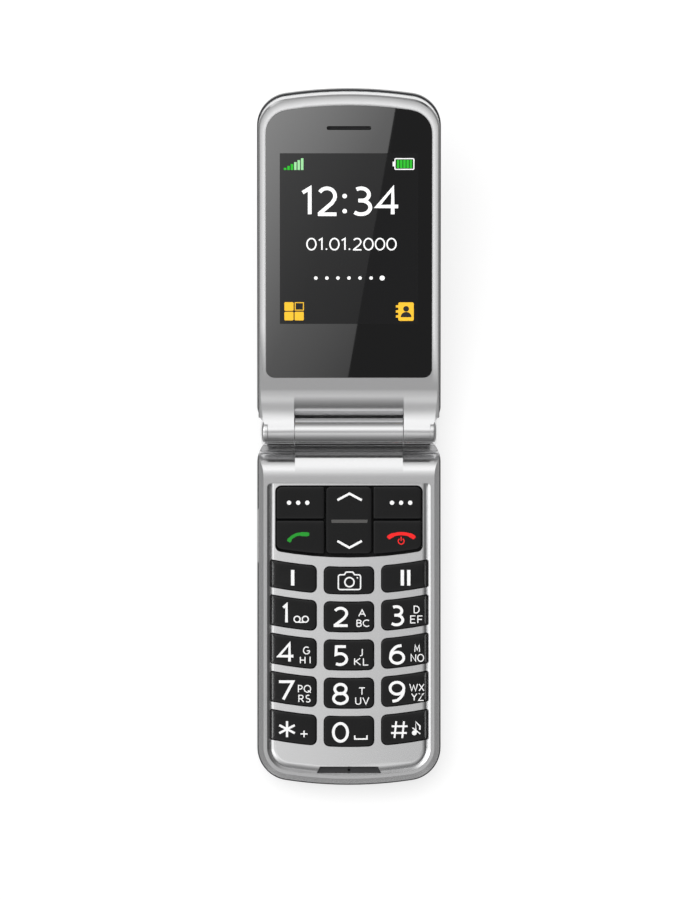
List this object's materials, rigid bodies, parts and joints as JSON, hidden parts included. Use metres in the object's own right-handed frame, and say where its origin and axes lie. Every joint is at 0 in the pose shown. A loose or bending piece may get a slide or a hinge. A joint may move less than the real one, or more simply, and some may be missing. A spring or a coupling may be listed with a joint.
{
  "type": "flip phone",
  "caption": "Folding mobile phone with a bowed silver front, a large-key keypad and a display under a black window in the lid.",
  "frame": {"origin": "on the flat back of the base, under the middle of the folded phone's footprint", "axes": "+Z out of the keypad, +Y from the base toward the lid, +X to the right for someone reading the keypad. At rest the phone lies open on its back with the lid raised 17.5 degrees above the horizontal."},
  "size_m": [0.053, 0.2012, 0.042],
  "materials": {
    "silver_lacquer": "satin silver lacquer over plastic",
    "black_lacquer": "dark graphite lacquer over plastic",
    "key_gloss": "high gloss black with light legends",
    "window_gloss": "clear acrylic, black behind the border",
    "red_key": "gloss red",
    "black_plastic": "matt black",
    "mat_rubber": "matt silicone rubber",
    "dome_steel": "spring steel on a clear film",
    "board": "green solder mask over glass-fibre laminate",
    "bright_steel": "plain bright steel",
    "screw_steel": "black steel",
    "cell_case": "plain wrapped can",
    "gold": "gold plated",
    "flex": "amber polyimide film",
    "lcd_glass": "dark glass of the display cell",
    "frame_aluminium": "plain pressed sheet",
    "magnet": "nickel plated"
  },
  "bodies": {
    "base": {"base_front_shell": "silver_lacquer", "keypad_plate": "silver_lacquer", "base_rear_shell": "black_lacquer", "keypad_mat": "mat_rubber", "dome_sheet": "dome_steel", "main_board": "board", "shield_can": "bright_steel", "sim_holder": "bright_steel", "battery_connector": "black_plastic", "battery": "cell_case", "loudspeaker": "black_plastic", "vibration_motor": "bright_steel", "microphone": "black_plastic", "usb_socket": "bright_steel", "headset_jack": "black_plastic", "antenna": "gold", "base_screws": "screw_steel", "side_switches": "bright_steel", "hinge_cartridge": "bright_steel", "hinge_spring": "bright_steel", "hinge_cam": "bright_steel", "hinge_flex": "flex"},
    "soft_key_left_body": {"soft_key_left": "key_gloss"},
    "soft_key_right_body": {"soft_key_right": "key_gloss"},
    "call_key_body": {"call_key": "key_gloss"},
    "end_key_body": {"end_key": "key_gloss"},
    "memory_key_one_body": {"memory_key_one": "key_gloss"},
    "camera_key_body": {"camera_key": "key_gloss"},
    "memory_key_two_body": {"memory_key_two": "key_gloss"},
    "key_1_body": {"key_1": "key_gloss"},
    "key_2_body": {"key_2": "key_gloss"},
    "key_3_body": {"key_3": "key_gloss"},
    "key_4_body": {"key_4": "key_gloss"},
    "key_5_body": {"key_5": "key_gloss"},
    "key_6_body": {"key_6": "key_gloss"},
    "key_7_body": {"key_7": "key_gloss"},
    "key_8_body": {"key_8": "key_gloss"},
    "key_9_body": {"key_9": "key_gloss"},
    "key_star_body": {"key_star": "key_gloss"},
    "key_0_body": {"key_0": "key_gloss"},
    "key_hash_body": {"key_hash": "key_gloss"},
    "nav_key_body": {"nav_key": "key_gloss"},
    "volume_rocker_body": {"volume_rocker": "silver_lacquer"},
    "sos_key_body": {"sos_key": "red_key"},
    "cover": {"battery_cover": "black_lacquer"},
    "lid": {"lid_front_shell": "silver_lacquer", "display_window": "window_gloss", "lcd_panel": "lcd_glass", "lcd_frame": "frame_aluminium", "lid_board": "board", "earpiece": "black_plastic", "earpiece_mesh": "black_plastic", "lid_rear_shell": "black_lacquer", "camera_module": "black_plastic", "camera_window": "window_gloss", "lid_screws": "screw_steel", "lid_magnet": "magnet", "hinge_shaft": "bright_steel", "hinge_bush": "bright_steel", "hinge_caps": "silver_lacquer"}
  },
  "joints": [
    {"name": "lid_hinge", "type": "hinge", "parent": "base", "child": "lid", "pos_m": [0, 0.04902, 0.01175], "axis": [1, 0, 0], "range_deg": [0, 162.5]},
    {"name": "soft_key_left_press", "type": "slide", "parent": "base", "child": "soft_key_left_body", "axis": [0, 0, -1], "range_m": [0, 0.0003], "stiffness_N_per_m": 200, "springref_m": -0.0015},
    {"name": "soft_key_right_press", "type": "slide", "parent": "base", "child": "soft_key_right_body", "axis": [0, 0, -1], "range_m": [0, 0.0003], "stiffness_N_per_m": 200, "springref_m": -0.0015},
    {"name": "call_key_press", "type": "slide", "parent": "base", "child": "call_key_body", "axis": [0, 0, -1], "range_m": [0, 0.0003], "stiffness_N_per_m": 200, "springref_m": -0.0015},
    {"name": "end_key_press", "type": "slide", "parent": "base", "child": "end_key_body", "axis": [0, 0, -1], "range_m": [0, 0.0003], "stiffness_N_per_m": 200, "springref_m": -0.0015},
    {"name": "memory_key_one_press", "type": "slide", "parent": "base", "child": "memory_key_one_body", "axis": [0, 0, -1], "range_m": [0, 0.0003], "stiffness_N_per_m": 200, "springref_m": -0.0015},
    {"name": "camera_key_press", "type": "slide", "parent": "base", "child": "camera_key_body", "axis": [0, 0, -1], "range_m": [0, 0.0003], "stiffness_N_per_m": 200, "springref_m": -0.0015},
    {"name": "memory_key_two_press", "type": "slide", "parent": "base", "child": "memory_key_two_body", "axis": [0, 0, -1], "range_m": [0, 0.0003], "stiffness_N_per_m": 200, "springref_m": -0.0015},
    {"name": "key_1_press", "type": "slide", "parent": "base", "child": "key_1_body", "axis": [0, 0, -1], "range_m": [0, 0.0003], "stiffness_N_per_m": 200, "springref_m": -0.0015},
    {"name": "key_2_press", "type": "slide", "parent": "base", "child": "key_2_body", "axis": [0, 0, -1], "range_m": [0, 0.0003], "stiffness_N_per_m": 200, "springref_m": -0.0015},
    {"name": "key_3_press", "type": "slide", "parent": "base", "child": "key_3_body", "axis": [0, 0, -1], "range_m": [0, 0.0003], "stiffness_N_per_m": 200, "springref_m": -0.0015},
    {"name": "key_4_press", "type": "slide", "parent": "base", "child": "key_4_body", "axis": [0, 0, -1], "range_m": [0, 0.0003], "stiffness_N_per_m": 200, "springref_m": -0.0015},
    {"name": "key_5_press", "type": "slide", "parent": "base", "child": "key_5_body", "axis": [0, 0, -1], "range_m": [0, 0.0003], "stiffness_N_per_m": 200, "springref_m": -0.0015},
    {"name": "key_6_press", "type": "slide", "parent": "base", "child": "key_6_body", "axis": [0, 0, -1], "range_m": [0, 0.0003], "stiffness_N_per_m": 200, "springref_m": -0.0015},
    {"name": "key_7_press", "type": "slide", "parent": "base", "child": "key_7_body", "axis": [0, 0, -1], "range_m": [0, 0.0003], "stiffness_N_per_m": 200, "springref_m": -0.0015},
    {"name": "key_8_press", "type": "slide", "parent": "base", "child": "key_8_body", "axis": [0, 0, -1], "range_m": [0, 0.0003], "stiffness_N_per_m": 200, "springref_m": -0.0015},
    {"name": "key_9_press", "type": "slide", "parent": "base", "child": "key_9_body", "axis": [0, 0, -1], "range_m": [0, 0.0003], "stiffness_N_per_m": 200, "springref_m": -0.0015},
    {"name": "key_star_press", "type": "slide", "parent": "base", "child": "key_star_body", "axis": [0, 0, -1], "range_m": [0, 0.0003], "stiffness_N_per_m": 200, "springref_m": -0.0015},
    {"name": "key_0_press", "type": "slide", "parent": "base", "child": "key_0_body", "axis": [0, 0, -1], "range_m": [0, 0.0003], "stiffness_N_per_m": 200, "springref_m": -0.0015},
    {"name": "key_hash_press", "type": "slide", "parent": "base", "child": "key_hash_body", "axis": [0, 0, -1], "range_m": [0, 0.0003], "stiffness_N_per_m": 200, "springref_m": -0.0015},
    {"name": "nav_key_rock", "type": "hinge", "parent": "base", "child": "nav_key_body", "pos_m": [0, 0.0235, 0.0093], "axis": [1, 0, 0], "range_deg": [-1.8, 1.8], "stiffness_Nm_per_rad": 0.05},
    {"name": "volume_rocker_rock", "type": "hinge", "parent": "base", "child": "volume_rocker_body", "pos_m": [-0.0239, 0.01903, 0.0076], "axis": [0, 0, 1], "range_deg": [-2, 2], "stiffness_Nm_per_rad": 0.05},
    {"name": "sos_key_press", "type": "slide", "parent": "base", "child": "sos_key_body", "axis": [0, 0, 1], "range_m": [0, 0.00035], "stiffness_N_per_m": 200, "springref_m": -0.0015},
    {"name": "cover_release", "type": "slide", "parent": "base", "child": "cover", "axis": [0, 0, -1], "range_m": [0, 0.02]}
  ]
}
